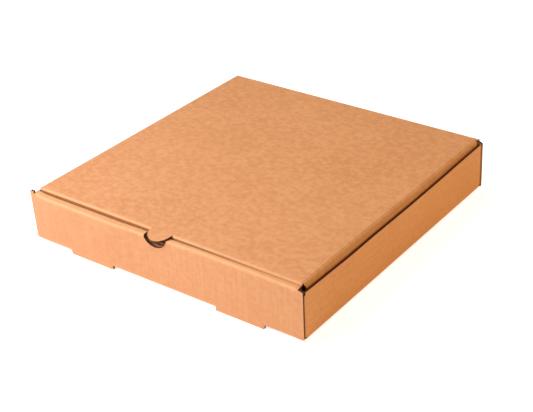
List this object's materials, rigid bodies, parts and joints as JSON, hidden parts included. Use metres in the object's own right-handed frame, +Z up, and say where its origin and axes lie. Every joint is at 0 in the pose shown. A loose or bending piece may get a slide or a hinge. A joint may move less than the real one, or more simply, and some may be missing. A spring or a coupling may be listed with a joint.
{
  "type": "pizza box",
  "caption": "Shallow square pizza box folded from kraft corrugated board, with a rolled front wall, a thumb notch and a hinged lid with tuck flaps.",
  "frame": {"origin": "middle of the shut box, on the surface that the feet stand on", "axes": "+X to the right seen from the front, +Y from the rolled front wall to the hinge, +Z up"},
  "size_m": [0.336, 0.3558, 0.0618],
  "materials": {
    "kraft_board": "matte"
  },
  "bodies": {
    "tray": {"tray": "kraft_board"},
    "lid": {"lid": "kraft_board"}
  },
  "joints": [
    {"name": "lid_hinge", "type": "hinge", "parent": "tray", "child": "lid", "pos_m": [0, 0.17365, 0.06055], "axis": [-1, 0, 0], "range_deg": [0, 180]}
  ]
}
